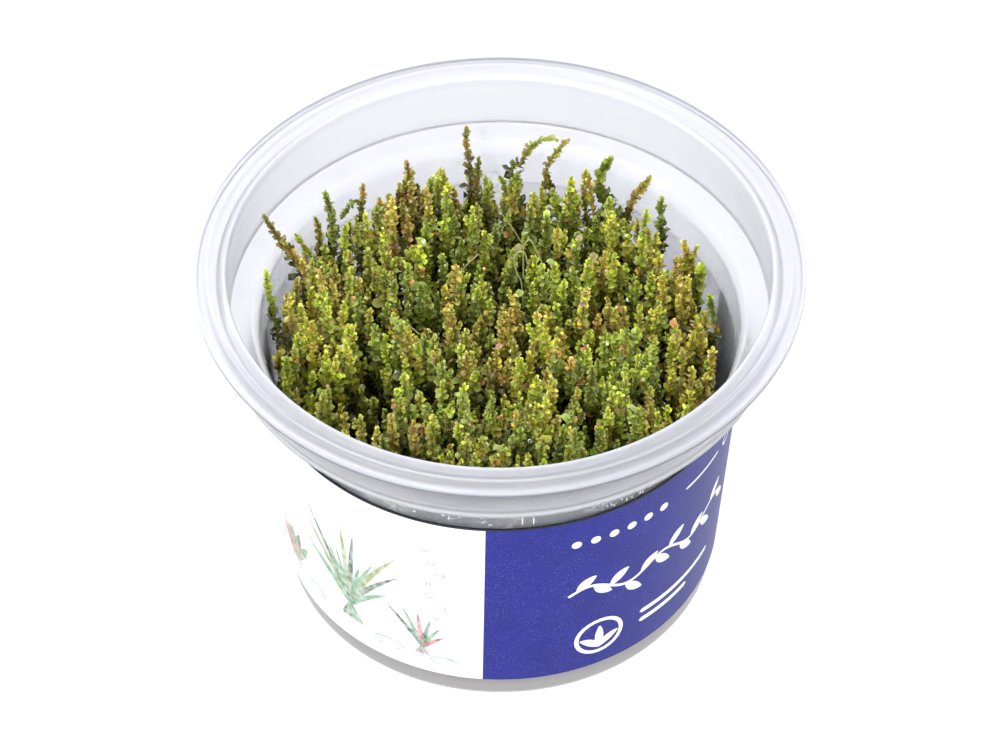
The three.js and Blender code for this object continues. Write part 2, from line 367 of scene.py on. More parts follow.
def rounded(profile, steps=5):
    """A profile of (radius, height, rounding) points with each corner turned into a small curve."""
    path = []
    for i, (r, z, rounding) in enumerate(profile):
        here = np.array([r, z], float)
        if rounding == 0:
            path.append(here)
            continue
        before = np.array(profile[i - 1][:2]) - here
        after = np.array(profile[i + 1][:2]) - here
        start = here + before * min(rounding / np.linalg.norm(before), 0.48)
        end = here + after * min(rounding / np.linalg.norm(after), 0.48)
        for k in range(steps + 1):
            t = k / steps
            path.append((1 - t) ** 2 * start + 2 * t * (1 - t) * here + t**2 * end)
    return np.array(path)


def ring_quads(rings, sides):
    """The faces between rings of points that follow one another, as rows of four corners."""
    near = np.arange(rings * sides).reshape(rings, sides)
    far = np.roll(near, -1, axis=1)
    return np.stack([near[:-1], far[:-1], far[1:], near[1:]], axis=-1).reshape(-1, 4)


def unit(rows):
    """Each row of an array, or one row, brought to length one."""
    return rows / np.linalg.norm(rows, axis=-1, keepdims=True)


class Batch:
    """Many small shapes, gathered and then made into one mesh."""

    def __init__(self):
        self.points = []
        self.faces = []
        self.tints = []
        self.count = 0

    def add(self, points, faces, tints):
        self.points.append(points)
        self.faces.append(faces + self.count)
        self.tints.append(np.broadcast_to(tints, points.shape))
        self.count += len(points)

    def mesh(self, name, smooth=True):
        made = mesh_object(name, np.concatenate(self.points), np.concatenate(self.faces), smooth=smooth)
        tint_points(made, np.concatenate(self.tints))
        return made


def lathe(name, path, segments=CUP_SEGMENTS):
    """A closed turned solid. The path runs from the axis, up the outside and back to the axis."""
    turns = 2 * math.pi * np.arange(segments) / segments
    inner = path[1:-1]
    rings = len(inner)
    points = np.empty((rings, segments, 3))
    points[:, :, 0] = inner[:, :1] * np.cos(turns)
    points[:, :, 1] = inner[:, :1] * np.sin(turns)
    points[:, :, 2] = inner[:, 1:]
    poles = np.array([[0, 0, path[0, 1]], [0, 0, path[-1, 1]]])
    first = np.arange(segments)
    second = (first + 1) % segments
    pole = np.full(segments, rings * segments)
    last = (rings - 1) * segments
    caps = [
        np.stack([second, first, pole], axis=1),
        np.stack([last + first, last + second, pole + 1], axis=1),
    ]
    points = np.concatenate([points.reshape(-1, 3), poles])
    return mesh_object(name, points, ring_quads(rings, segments), np.concatenate(caps))


# Materials


class Finish:
    """One material, with a short way to write its nodes."""

    def __init__(self, name, **values):
        self.material = bpy.data.materials.new(name)
        self.material.use_nodes = True
        self.tree = self.material.node_tree
        self.shader = self.tree.nodes["Principled BSDF"]
        for key, value in values.items():
            self.put(self.shader.inputs[key.replace("_", " ")], value)

    def add(self, kind, inputs=None, **settings):
        node = self.tree.nodes.new("ShaderNode" + kind)
        for key, value in settings.items():
            setattr(node, key, value)
        for key, value in (inputs or {}).items():
            self.put(node.inputs[key], value)
        return node

    def put(self, socket, value):
        if isinstance(value, bpy.types.NodeSocket):
            self.tree.links.new(value, socket)
        elif socket.type == "RGBA":
            socket.default_value = (*value, 1)
        else:
            socket.default_value = value

    def link(self, name, value):
        self.tree.links.new(value, self.shader.inputs[name])

    def place(self):
        return self.add("TexCoord").outputs["Object"]

    def tint(self):
        return self.add("Attribute", attribute_name="tint").outputs["Color"]

    def noise(self, size_mm, detail=2.0):
        """Noise whose lumps are about size_mm across."""
        inputs = {"Vector": self.place(), "Scale": 1 / (size_mm * MM), "Detail": detail}
        return self.add("TexNoise", inputs).outputs["Fac"]

    def ramp(self, value, low, high, to_low=0, to_high=1):
        inputs = {"Value": value, "From Min": low, "From Max": high, "To Min": to_low, "To Max": to_high}
        return self.add("MapRange", inputs).outputs["Result"]

    def math(self, operation, *values):
        return self.add("Math", dict(enumerate(values)), operation=operation).outputs[0]

    def times(self, first, second):
        return self.math("MULTIPLY", first, second)

    def height(self):
        return self.add("SeparateXYZ", {0: self.place()}).outputs["Z"]

    def radius(self):
        """How far a point is from the cup's axis."""
        flat = self.add("VectorMath", {0: self.place(), 1: (1, 1, 0)}, operation="MULTIPLY").outputs[0]
        return self.add("VectorMath", {0: flat}, operation="LENGTH").outputs["Value"]

    def step(self, value, start_mm, end_mm):
        """0 up to the start and 1 from the end. The other way round where the start is the larger."""
        return self.ramp(value, start_mm * MM, end_mm * MM)

    def peak(self, value, middle_mm, half_width_mm):
        """1 at the middle, falling to 0 on both sides of it."""
        off = self.math("ABSOLUTE", self.math("SUBTRACT", value, middle_mm * MM))
        return self.step(off, half_width_mm, 0)

    def blend(self, share, first, second):
        inputs = {0: share, 6: first, 7: second}
        return self.add("Mix", inputs, data_type="RGBA").outputs[2]

    def base(self, share, first, second):
        """Gives the surface a colour between two, by a share."""
        self.link("Base Color", self.blend(share, first, second))

    def bump(self, height, strength, distance_mm):
        inputs = {"Height": height, "Strength": strength, "Distance": distance_mm * MM}
        self.link("Normal", self.add("Bump", inputs).outputs["Normal"])


# Painted highlight lines round the top of the flange, where the plastic is whiter and less clear: radius,
# half width and how white
PAINTED_RIM_HIGHLIGHTS = [
    (MOUTH_RADIUS + 0.4, 0.8, 0.65),
    (BEAD_RADIUS + 0.3, 0.4, 0.4),
    (FLANGE_RADIUS - 0.2, 1.1, 0.45),
]

# Parts of the frosted plastic that differ, by the height or radius where each starts and where it is full.
# A band also has its middle height and half its width.
THICK_HEIGHTS = (RIM_HEIGHT - 2, RIM_HEIGHT - 1.2)
# The foot band is painted a darker warm grey: painted shade, with the tint of the gel seen behind the wall
FOOT_SHADE_HEIGHTS = (MILKY_TO + 1, MILKY_TO)
# A painted shadow: a dark, less clear band on the underside of the flange's outer edge
FLANGE_SHADOW_HEIGHTS = (RIM_HEIGHT - FLANGE_THICKNESS + 0.75, RIM_HEIGHT - FLANGE_THICKNESS + 0.15)
FLANGE_SHADOW_RADII = (FLANGE_RADIUS - 0.22, FLANGE_RADIUS - 0.1)
PLATE_BAND = (SHOULDER_HEIGHT, 2)
PLATE_RADII = (44.2, 43.6)
# The lip and the bend are whitened as painted highlights, by the shares given below
LIP_BAND = (SHOULDER_HEIGHT + 0.15, 0.55)
LIP_RADII = (44.8, 45.1)
LIP_HIGHLIGHT_SHARE = 0.65
BEND_BAND = (SHOULDER_HEIGHT + 0.5, 1.3)
BEND_RADII = (44.5, 44.8)
BEND_HIGHLIGHT_SHARE = 0.25
CLEARNESS = 0.96


def frosted_plastic():
    """Milky moulded plastic of the collar and foot, denser where it is thick. Its edges are whitened as
    painted highlights, the underside of the flange's outer edge is darkened as a painted shadow and the foot
    is greyed as painted shade.
    """
    finish = Finish("frosted_plastic", IOR=1.34, Coat_Weight=0.25, Coat_Roughness=0.15)
    height = finish.height()
    radius = finish.radius()
    thick = finish.step(height, *THICK_HEIGHTS)
    foot = finish.step(height, *FOOT_SHADE_HEIGHTS)
    # The painted shadow under the flange's outer edge
    corner = finish.times(finish.step(height, *FLANGE_SHADOW_HEIGHTS), finish.step(radius, *FLANGE_SHADOW_RADII))
    plate = finish.times(finish.peak(height, *PLATE_BAND), finish.step(radius, *PLATE_RADII))
    lip = finish.times(finish.peak(height, *LIP_BAND), finish.step(radius, *LIP_RADII))
    bend = finish.times(finish.peak(height, *BEND_BAND), finish.step(radius, *BEND_RADII))
    # Painted highlights: whiter, less clear plastic along the lip, the bend and the rim lines
    edge = finish.math("MAXIMUM", finish.times(lip, LIP_HIGHLIGHT_SHARE), finish.times(bend, BEND_HIGHLIGHT_SHARE))
    for middle, half_width, share in PAINTED_RIM_HIGHLIGHTS:
        rim = finish.times(finish.peak(radius, middle, half_width), thick)
        edge = finish.math("MAXIMUM", edge, finish.times(rim, share))
    colour = finish.blend(finish.noise(11, 3), linear(236, 236, 243), linear(239, 239, 245))
    clearness = CLEARNESS
    parts = [
        (thick, (234, 234, 242), 0.12),
        (plate, (242, 242, 246), 0),
        # Painted shade and the gel's tint on the foot band, which is also less clear
        (foot, (180, 177, 176), 0.4),
        # Painted highlights along the edges
        (edge, (238, 238, 245), 0.7),
        # Painted shadow under the flange's outer edge
        (corner, (112, 114, 126), 0.6),
    ]
    for share, part_colour, less_clear in parts:
        colour = finish.blend(share, colour, linear(*part_colour))
        clearness = finish.math("MULTIPLY_ADD", share, -less_clear, clearness)
    finish.link("Base Color", colour)
    finish.link("Transmission Weight", clearness)
    finish.link("Roughness", finish.ramp(finish.noise(4), 0.3, 0.7, 0.3, 0.35))
    finish.bump(finish.noise(3, 3), 0.03, 0.1)
    return finish.material


def wet_plastic():
    """The same plastic on the body, made clearer by the water inside, with patches of fine white foam."""
    finish = Finish("wet_plastic", IOR=1.34)
    patch = finish.ramp(finish.noise(9, 1), 0.52, 0.6)
    foam = finish.times(patch, finish.ramp(finish.noise(0.7, 4), 0.5, 0.62))
    finish.base(foam, linear(240, 241, 249), linear(248, 248, 252))
    finish.link("Transmission Weight", finish.ramp(foam, 0, 1, 0.87, 0.55))
    finish.link("Roughness", finish.ramp(finish.noise(6, 4), 0.35, 0.65, 0.28, 0.36))
    finish.bump(finish.noise(1.6, 3), 0.02, 0.1)
    return finish.material


def label_film(name, low, high, clearness):
    """The film of the label, where it is printed white or left milky and clear."""
    finish = Finish(name, Roughness=0.5, IOR=1.3, Transmission_Weight=clearness)
    finish.base(finish.noise(16, 3), low, high)
    finish.bump(finish.noise(0.45), 0.06, 0.03)
    return finish.material


def blue_ink():
    """Blue ink with fine pale specks, where the film's grain shows through, under a satin varnish."""
    finish = Finish("label_blue", Roughness=0.45, IOR=1.34, Coat_Weight=0.15, Coat_Roughness=0.3)
    cloud = finish.ramp(finish.noise(8, 3), 0.3, 0.7)
    ink = finish.blend(cloud, linear(3, 14, 120), linear(6, 20, 132))
    patch = finish.ramp(finish.noise(6), 0.4, 0.6, 0.35, 1)
    speck = finish.ramp(finish.noise(0.24, 1), 0.58, 0.74, 0, 0.45)
    finish.base(finish.times(speck, patch), ink, linear(116, 124, 206))
    finish.bump(finish.noise(0.45), 0.06, 0.03)
    return finish.material


def plain_finish(name, colour, roughness):
    """One colour, a little darker in fine patches."""
    finish = Finish(name, Roughness=roughness)
    finish.base(finish.noise(2.5), 0.88 * colour, colour)
    return finish.material


def picture_ink():
    """Printed colours of the picture, mottled as a watercolour is."""
    finish = Finish("label_ink", Roughness=0.45, IOR=1.45)
    wash = finish.ramp(finish.noise(1.4, 4), 0.35, 0.68, 0, 0.45)
    finish.base(wash, finish.tint(), linear(250, 250, 250))
    return finish.material


def gel_finish():
    finish = Finish("milky_gel", Transmission_Weight=0.35, IOR=1.34, Roughness=0.2)
    finish.base(finish.noise(12, 3), linear(176, 172, 150), linear(196, 193, 176))
    finish.bump(finish.noise(3), 0.1, 0.2)
    return finish.material


def water():
    finish = Finish("water", Transmission_Weight=0.85, IOR=1.33, Base_Color=linear(251, 252, 255))
    finish.link("Roughness", finish.ramp(finish.noise(1), 0.3, 0.7, 0.01, 0.05))
    return finish.material


def foam():
    """White foam, and the painted highlights on the rims of bubbles."""
    finish = Finish("foam", IOR=1.33, Roughness=0.25, Transmission_Weight=0.1)
    finish.base(finish.noise(0.8), linear(228, 231, 242), linear(250, 251, 255))
    return finish.material


def leaf_finish():
    """Moist leaves in their own tint, mottled, with fine wrinkles that break up the highlights."""
    finish = Finish("leaf", IOR=1.36, Coat_Weight=0.7, Coat_Roughness=0.12, Transmission_Weight=0.15)
    pale = finish.blend(0.3, finish.tint(), linear(214, 216, 96))
    mottle = finish.ramp(finish.noise(0.5, 3), 0.42, 0.72)
    finish.base(mottle, finish.tint(), pale)
    finish.link("Roughness", finish.ramp(finish.noise(1.1), 0.35, 0.65, 0.32, 0.5))
    finish.bump(finish.noise(0.35), 0.4, 0.06)
    return finish.material


# The cup, the gel and what clings to the wall


def make_cup():
    floor = FOOT_RECESS + WALL
    foot_ring = BODY_FOOT_RADIUS - FOOT_ROUND - FOOT_RING_WIDTH
    under_flange = RIM_HEIGHT - FLANGE_THICKNESS
    under_step = SHOULDER_HEIGHT - SHOULDER_RISE
    collar_bore = COLLAR_OUTER_FOOT - WALL
    # Radius, height and rounding: from the axis under the foot, up the outside and down the inside
    profile = [
        (0, FOOT_RECESS, 0),
        (foot_ring - FOOT_SLOPE, FOOT_RECESS, 0.3),
        (foot_ring, 0, 0.3),
        (BODY_FOOT_RADIUS - FOOT_ROUND + 0.2, 0, 0.7),
        (body_radius(1), 1, 0.8),
        (body_radius(MILKY_TO), MILKY_TO, 0),
        (body_radius(under_step), under_step, 0.8),
        (COLLAR_OUTER_FOOT - 0.6, SHOULDER_HEIGHT - SHOULDER_LIP - 0.05, 0.2),
        (COLLAR_OUTER_FOOT + LIP_REACH, SHOULDER_HEIGHT - SHOULDER_LIP + 0.1, 0.25),
        (COLLAR_OUTER_FOOT + LIP_REACH - 0.05, SHOULDER_HEIGHT, 0.2),
        (COLLAR_OUTER_FOOT, SHOULDER_HEIGHT + 0.35, 0.3),
        (COLLAR_OUTER_TOP, under_flange, 0.35),
        (FLANGE_RADIUS - EDGE_WIDTH - EDGE_DROP, under_flange, 0.15),
        (FLANGE_RADIUS - EDGE_WIDTH, under_flange - EDGE_DROP, 0.15),
        (FLANGE_RADIUS - 0.1, under_flange - EDGE_DROP, 0.3),
        (FLANGE_RADIUS, RIM_HEIGHT, 0.6),
        (BEAD_RADIUS + 2 * BEAD_HALF_WIDTH, RIM_HEIGHT, 0.3),
        (BEAD_RADIUS, RIM_HEIGHT + 1.5 * BEAD_HEIGHT, 0.5),
        (BEAD_RADIUS - 2 * BEAD_HALF_WIDTH, RIM_HEIGHT, 0.3),
        (MOUTH_RADIUS, RIM_HEIGHT, 0.7),
        (collar_bore, SHOULDER_HEIGHT + 0.3, 0.3),
        (bore_radius(SHOULDER_HEIGHT) + SHOULDER_EASE, SHOULDER_HEIGHT - 0.1, 0.5),
        (bore_radius(under_step), under_step, 1),
        (bore_radius(MILKY_TO), MILKY_TO, 0),
        (bore_radius(floor), floor, 1.6),
        (0, floor, 0),
    ]
    cup = lathe("frosted_cup", rounded(profile))
    cup.data.set_sharp_from_angle(angle=math.radians(50))
    finish_piece(cup, [frosted_plastic(), wet_plastic()], ["cup"])
    heights = np.array([face.center.z for face in cup.data.polygons])
    wet = (heights < (SHOULDER_HEIGHT - 1.4) * MM) & (heights > MILKY_TO * MM)
    cup.data.polygons.foreach_set("material_index", wet.astype(np.int32))
    return cup


def make_gel():
    floor = FOOT_RECESS + WALL + GEL_CLEARANCE
    foot = bore_radius(floor) - GEL_CLEARANCE
    edge = bore_radius(GEL_TOP + MENISCUS_RISE) - GEL_CLEARANCE
    path = [(0, floor), (foot - 1.6, floor), (foot - 0.4, floor + 0.4), (foot, floor + 1.6)]
    for inward in np.linspace(0, 2.5 * MENISCUS_WIDTH, 9):
        path.append((edge - inward, GEL_TOP + MENISCUS_RISE * math.exp(-inward / MENISCUS_WIDTH)))
    for share in np.linspace(0.85, 0.1, 8):
        path.append((edge * share, GEL_TOP))
    path.append((0, GEL_TOP))
    gel = lathe("gel_bed", np.array(path), 96)
    return finish_piece(gel, [gel_finish()], ["nutrient_gel"])


DROP_RINGS = 2
DROP_SIDES = 8
DROP_HEIGHT = 0.55


def drop_template():
    """A drop that clings to a wall: a low dome with a flat back, closed, one unit in radius."""
    points = [(0, 0, DROP_HEIGHT)]
    for ring in range(1, DROP_RINGS + 1):
        slope = math.pi / 2 * ring / DROP_RINGS
        for side in range(DROP_SIDES):
            turn = 2 * math.pi * side / DROP_SIDES
            across = math.sin(slope)
            points.append((across * math.cos(turn), across * math.sin(turn), DROP_HEIGHT * math.cos(slope)))
    top = [(0, 1 + side, 1 + (side + 1) % DROP_SIDES) for side in range(DROP_SIDES)]
    walls = 1 + ring_quads(DROP_RINGS, DROP_SIDES)[:, [0, 3, 2, 0, 2, 1]].reshape(-1, 3)
    last = 1 + (DROP_RINGS - 1) * DROP_SIDES
    back = [(last, last + side + 1, last + side) for side in range(1, DROP_SIDES - 1)]
    return np.array(points), np.concatenate([top, walls, back])


# Where drops cling: 1 outside or -1 inside, first and last azimuth in degrees, lowest and highest place,
# how many, and their smallest and largest radius
DROP_PATCHES = [
    (1, -32, 20, 46, 51.6, 30, 0.1, 0.3),
    (1, 20, 60, 45.8, 51.8, 90, 0.07, 0.3),
    (-1, -110, -30, 41, 51, 60, 0.1, 0.35),
    (-1, 50, 112, 38, 50, 170, 0.08, 0.3),
    (-1, 70, 84, 36, 48, 70, 0.1, 0.4),
]

# Where fine white foam clings, given in the same way
FOAM_PATCHES = [
    (1, -12.5, -9, 47, 49, 24, 0.06, 0.14),
    (1, 4, 21, 46.4, 51, 22, 0.05, 0.12),
    (1, 21, 48, 46.2, 51.8, 360, 0.06, 0.2),
    (1, 48, 58, 46.2, 51.6, 40, 0.05, 0.14),
]

# Painted highlights of single bubbles, each a white arch for its bright upper rim: its azimuth in degrees,
# its height on the wall, half its width and how tall it is. The two narrow tall ones are streaks.
BUBBLE_GLINTS = [
    (-24.5, 47.7, 0.24, 0.42),
    (-20.3, 46.9, 0.26, 0.45),
    (-12, 47, 0.2, 0.26),
    (-2.4, 46.2, 0.27, 0.42),
    (5, 46.4, 0.05, 2),
    (7.6, 46.3, 0.05, 1.8),
    (16, 48.6, 0.22, 0.3),
    (25, 47.4, 0.26, 0.4),
    (33, 48, 0.3, 0.45),
    (39, 47.6, 0.24, 0.36),
]


def wall_place(azimuth, z, way):
    """A place on the wall with the directions across, up and off it, at degrees from the front."""
    turn = math.radians(azimuth - 90)
    radius = body_radius(z) if way > 0 else bore_radius(z)
    off = unit(way * np.array([*polar(1, turn), -BODY_TAPER]))
    side = way * np.array([-math.sin(turn), math.cos(turn), 0])
    return np.array([*polar(radius, turn), z]), side, np.cross(off, side), off


def make_drops(name, patches, material):
    """Small domes that cling to both sides of the wall, thickest at the front and right above the label."""
    template, faces = drop_template()
    points = []
    groups = []
    for way, start, end, low, high, count, small, large in patches:
        for _ in range(count):
            centre, side, up, off = wall_place(rng.uniform(start, end), rng.uniform(low, high), way)
            size = small + (large - small) * rng.random() ** 3
            frame_rows = np.array([side, up * rng.uniform(0.9, 1.3), off]) * size
            groups.append(faces + len(points) * len(template))
            points.append(centre + template @ frame_rows)
    drops = mesh_object(name, np.concatenate(points), np.concatenate(groups))
    return finish_piece(drops, [material])


def make_bubble_glints(material):
    """Painted highlights on the upper rims of single bubbles: thin white arches on the wall."""
    growth = Growth()
    for azimuth, z, wide, tall in BUBBLE_GLINTS:
        centre, side, up, off = wall_place(azimuth, z, 1)
        turns = np.linspace(0.1, math.pi - 0.1, 9)[:, None]
        line = centre + wide * side * np.cos(turns) + tall * up * np.sin(turns)
        growth.stem(line, 0.04 * np.sin(turns[:, 0]) + 0.05, linear(250, 251, 255), sides=6, across=off)
    return growth.piece("wall_bubble_glints", "gel", material)


# The label


def wrap(turn, z, lift):
    """A point on the label's outside, at an angle from the front to the right, lifted off the film."""
    r = body_radius(z) + LABEL_GAP + LABEL_THICKNESS + lift
    return np.array([r * math.sin(turn), -r * math.cos(turn), z])


# The label's cut edges and a thin band along the top of its outside are painted near black: a painted shadow
# line along its top edge
FILM, BLUE, SHADOW_EDGE, BACK, CLEAR = range(5)
WHITE_FROM = math.radians(-97)
COLOUR_SLANT = math.radians(-1.4)
# How tall the painted shadow line is on the outside, below the top edge
SHADOW_LINE_HEIGHT = 0.4


def make_label():
    seam = LABEL_SEAM / 2 / body_radius(LABEL_BOTTOM)
    even = np.linspace(-math.pi + seam, math.pi - seam, 241)
    even = even[np.abs(even - COLOUR_FROM) > 1.3 * abs(COLOUR_SLANT)]
    turns = np.sort(np.concatenate([even, [WHITE_FROM, COLOUR_FROM, COLOUR_TO]]))
    corners = [
        (LABEL_BOTTOM, -LABEL_THICKNESS),
        (LABEL_BOTTOM, 0),
        (LABEL_TOP - SHADOW_LINE_HEIGHT, 0),
        (LABEL_TOP, 0),
        (LABEL_TOP, -LABEL_THICKNESS),
    ]
    sides = len(corners)
    points = np.array([[wrap(turn, z, lift) for z, lift in corners] for turn in turns])
    for k, (z, lift) in enumerate(corners):
        if z == LABEL_BOTTOM:
            points[turns == COLOUR_FROM, k] = wrap(COLOUR_FROM + COLOUR_SLANT, z, lift)
    kinds = []
    for turn in (turns[:-1] + turns[1:]) / 2:
        edge, outside, inside = CLEAR, CLEAR, CLEAR
        if WHITE_FROM < turn < COLOUR_FROM:
            edge, outside, inside = SHADOW_EDGE, FILM, FILM
        elif COLOUR_FROM < turn < COLOUR_TO:
            edge, outside, inside = SHADOW_EDGE, BLUE, BACK
        kinds += [edge, outside, edge, edge, inside]
    kinds += [CLEAR, CLEAR]
    quads = ring_quads(len(turns), sides)[:, [0, 3, 2, 1]]
    start = np.arange(sides)
    end = sides * (len(turns) - 1) + start[::-1]
    label = mesh_object("wrap_label", points.reshape(-1, 3), quads, np.array([start, end]))
    label.data.set_sharp_from_angle(angle=math.radians(40))
    white = label_film("label_film", linear(252, 251, 250), linear(254, 253, 252), 0.06)
    clear = label_film("label_clear_film", linear(251, 251, 254), linear(254, 254, 255), 0.95)
    # Painted shadow: near-black film for the label's edges and the line along its top
    edge = plain_finish("label_shadow_edge", linear(8, 12, 34), 0.6)
    back = plain_finish("label_back", linear(194, 190, 172), 0.5)
    finish_piece(label, [white, blue_ink(), edge, back, clear], ["label"])
    label.data.polygons.foreach_set("material_index", kinds)
    return label


class Print(Batch):
    """Ink on the label: thin closed ribbons that follow the film. Places are (along, up) in millimetres."""

    FOOT = 0.004
    LIFT = 0.03

    def ribbon(self, line, widths, tint):
        """A stroke along a line of places, with its width at each."""
        line = np.asarray(line, float)
        along = np.gradient(line, axis=0)
        along /= np.linalg.norm(along, axis=1)[:, None] + 1e-9
        across = np.stack([-along[:, 1], along[:, 0]], axis=1)
        half = np.maximum(np.asarray(widths, float), 0.02)[:, None] / 2
        radius = body_radius(LABEL_MIDDLE)
        points = []
        for left, right in zip(line + across * half, line - across * half):
            ends = [(left, self.FOOT), (left, self.LIFT), (right, self.LIFT), (right, self.FOOT)]
            points += [wrap(place[0] / radius, place[1], lift) for place, lift in ends]
        end = len(points) - 4
        caps = [(3, 2, 1, 0), (end, end + 1, end + 2, end + 3)]
        self.add(np.array(points), np.concatenate([ring_quads(len(line), 4), caps]), tint)

    def bar(self, along, up, length, height, tint):
        """A level bar with round ends."""
        places = along + length * np.linspace(0, 1, max(9, int(length * 2)))
        to_end = np.minimum(places - along, along + length - places)
        inset = np.maximum(0, height / 2 - to_end)
        widths = 2 * np.sqrt(np.maximum(0, (height / 2) ** 2 - inset**2))
        self.ribbon(np.stack([places, np.full_like(places, up)], axis=1), widths, tint)

    def dot(self, along, up, wide, tall, tint):
        share = -np.cos(np.linspace(0, math.pi, 13))
        line = np.stack([along + wide / 2 * share, np.full_like(share, up)], axis=1)
        self.ribbon(line, tall * np.sqrt(np.maximum(0, 1 - share**2)), tint)

    def ring(self, along, up, wide, tall, stroke, tint):
        turn = np.linspace(0, 2 * math.pi, 25)
        line = np.stack([along + wide / 2 * np.cos(turn), up + tall / 2 * np.sin(turn)], axis=1)
        self.ribbon(line, np.full(len(turn), stroke), tint)

    def leaf(self, start, length, heading, bend, width, tint, steps=10):
        """A leaf from start, its heading in degrees from level, turned by bend by its end."""
        line = [np.array(start, float)]
        for k in range(steps):
            angle = math.radians(heading + bend * k / steps)
            line.append(line[-1] + polar(length / steps, angle))
        share = np.linspace(0, 1, steps + 1)
        self.ribbon(line, width * np.sin(math.pi * (0.05 + 0.92 * share)) ** 0.8, tint)

    def piece(self, name, material):
        return finish_piece(self.mesh(name, smooth=False), [material])


def make_marks():
    """White marks on the blue panel: a rule with dots and rings, a leafy vine and a sprout in a ring."""
    white = linear(252, 252, 252)
    marks = Print()
    for k in range(6):
        marks.dot(12 + 3.2 * k, 39.2, 1.7, 1.7, white)
    marks.bar(33, 39.2, 10, 0.6, white)
    for k in range(3):
        marks.ring(46 + 3.6 * k, 39.2, 2.2, 2.2, 0.45, white)
    vine = np.linspace(0, 1, 60)
    wave = 25.5 + 1.5 * np.sin(vine * 5 * math.pi)
    marks.ribbon(np.stack([11 + 36 * vine, wave], axis=1), np.full(60, 0.6), white)
    for k in range(12):
        share = (k + 0.5) / 12
        foot = (11 + 36 * share, 25.5 + 1.5 * math.sin(share * 5 * math.pi))
        heading = 55 if k % 2 == 0 else -55
        marks.leaf(foot, 4.4, heading, -heading * 0.5, 1.9, white)
    marks.ring(17, 12.4, 8.4, 8.4, 0.8, white)
    for heading, bend, length in ((128, 30, 4.6), (52, -30, 4.6), (90, 0, 5.6)):
        marks.leaf((17, 9.4), length, heading, bend, 1.6, white)
    marks.bar(25, 13.6, 19, 1.1, white)
    marks.bar(25, 11.2, 12, 1.1, white)
    return marks.piece("label_marks", plain_finish("label_white", linear(252, 252, 252), 0.45))


def make_picture():
    """A generic underwater sketch on the white panel: ribbon leaves, broad leaves, pebbles and bubbles."""
    green = linear(116, 160, 122)
    deep = linear(70, 104, 82)
    moss = linear(146, 158, 96)
    red = linear(196, 84, 96)
    grey = linear(112, 116, 130)
    pale = linear(206, 209, 224)
    sketch = Print()
    for k in range(13):
        length = 16 + 10 * math.sin(2.3 * k) ** 2
        tint = (green, deep, moss, green)[k % 4]
        sketch.leaf((-30 + 0.4 * k, 10.2), length, 62 + 4.8 * k, (k - 6) * 5, 1.1, tint)
    for k in range(11):
        length = 6 + 4 * math.sin(1.7 * k) ** 2
        tint = (moss, green, red, deep)[k % 4]
        sketch.leaf((-46 + 0.4 * k, 11), length, 22 + 13.5 * k, (5 - k) * 6, 2.2, tint)
    for k in range(6):
        sketch.leaf((-15 + 0.5 * k, 9), 8 + k, 60 + 11 * k, (k - 3) * 9, 0.9, (red, green, deep)[k % 3])
    pebbles = [(-20, 9.2, 6, 2.4), (-10, 8.4, 4.6, 1.9), (-37, 10, 5, 2.2), (-53, 10.6, 6.4, 2.6)]
    for along, up, wide, tall in pebbles:
        sketch.dot(along, up, wide, tall, pale)
        sketch.ring(along, up, wide, tall, 0.16, grey)
    sketch.bar(-62, 8, 55, 0.22, pale)
    for k in range(7):
        size = 0.8 + 0.5 * math.sin(2.1 * k) ** 2
        sketch.ring(-11 + 1.4 * math.sin(1.9 * k), 20 + 3 * k, size, size, 0.15, grey)
    return sketch.piece("label_picture", picture_ink())


# The plan of the shoots


def sunflower(index, count, spread):
    """One of count places in an even spiral over the clump."""
    return CLUMP_CENTRE + polar(spread * math.sqrt((index + 0.5) / count), index * GOLDEN_ANGLE)


def vary(index, channel):
    """A fixed share for each index, by the same rule as the frame's plantlets have."""
    wild = math.sin(index * 12.9898 + channel * 78.233) * 43758.5453
    return wild - math.floor(wild)


def nearest(point, places):
    return int(np.argmin([np.hypot(*(np.asarray(point)[:2] - place[:2])) for place in places]))


def plan_shoots(roots):
    """The main shoots: the root that each grows from, its place, its tip and the risers it stands for."""
    shoots = []
    for i in range(SHOOT_COUNT):
        spot = sunflower(i, SHOOT_COUNT, CANOPY_SPREAD)
        root = nearest(spot, roots)
        place = spot + (roots[root] - spot) * GATHER
        lean = polar(SWAY, 2 * math.pi * vary(i, 1))
        height = CANOPY_HEIGHT + HEIGHT_SPREAD * (vary(i, 2) - 0.5)
        tip = np.array([*(place + lean), height])
        shoots.append({"root": root, "place": place, "tip": tip, "risers": []})
    for k, tip in enumerate(STANDOUTS):
        free = [shoot for shoot in shoots if not shoot["risers"]]
        chosen = free[nearest(tip, [shoot["place"] for shoot in free])]
        chosen["tip"] = np.array(tip, float)
        chosen["risers"] = [riser[1:] for riser in RISERS if riser[0] == k]
    return shoots


def plan_edge_shoots(roots):
    """Shoots along the clump's edge, at its back and sides, where it is seen from above."""
    shoots = []
    for turn in np.radians(np.linspace(*EDGE_DEGREES, EDGE_COUNT)):
        place = CLUMP_CENTRE + polar(CLUMP_LIMIT - rng.uniform(0, EDGE_DEPTH), turn)
        sway = rng.normal(0, EDGE_SWAY, 2)
        tip = np.array([*inside_clump(place + sway), rng.uniform(*EDGE_HEIGHT_RANGE)])
        shoots.append({"root": nearest(place, roots), "place": place, "tip": tip, "sunk": 0})
    return shoots


def inside_clump(place):
    """The place, drawn in to the clump's edge if it lies outside it."""
    out = place - CLUMP_CENTRE
    return CLUMP_CENTRE + out * min(1, CLUMP_LIMIT / np.linalg.norm(out))


